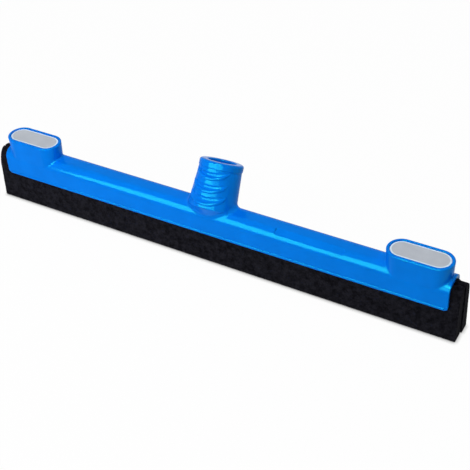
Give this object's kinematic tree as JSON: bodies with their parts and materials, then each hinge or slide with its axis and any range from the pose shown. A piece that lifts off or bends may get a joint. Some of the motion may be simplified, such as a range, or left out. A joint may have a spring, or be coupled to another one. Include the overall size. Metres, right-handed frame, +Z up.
{
  "type": "floor squeegee head",
  "caption": "Floor squeegee head: arched plastic frame with a leaning handle socket and oval end towers, over cellular rubber strips that slide out lengthwise.",
  "frame": {"origin": "middle of the bottom edge of the rubber, between the two strips, where the tool meets the floor", "axes": "+X along the blade, +Y to the back, the way the handle socket leans, +Z up"},
  "size_m": [0.4508, 0.0539, 0.0933],
  "materials": {
    "frame_plastic": "glossy moulded",
    "blade_rubber": "cellular, matte",
    "keeper_plastic": "extruded, matte",
    "inlay_plastic": "satin"
  },
  "bodies": {
    "frame_body": {"frame": "frame_plastic", "left_inlay": "inlay_plastic", "right_inlay": "inlay_plastic"},
    "blade_set": {"front_blade": "blade_rubber", "rear_blade": "blade_rubber", "blade_keeper": "keeper_plastic"}
  },
  "joints": [
    {"name": "blade_slide", "type": "slide", "parent": "frame_body", "child": "blade_set", "axis": [1, 0, 0], "range_m": [-0.445, 0.445]}
  ]
}
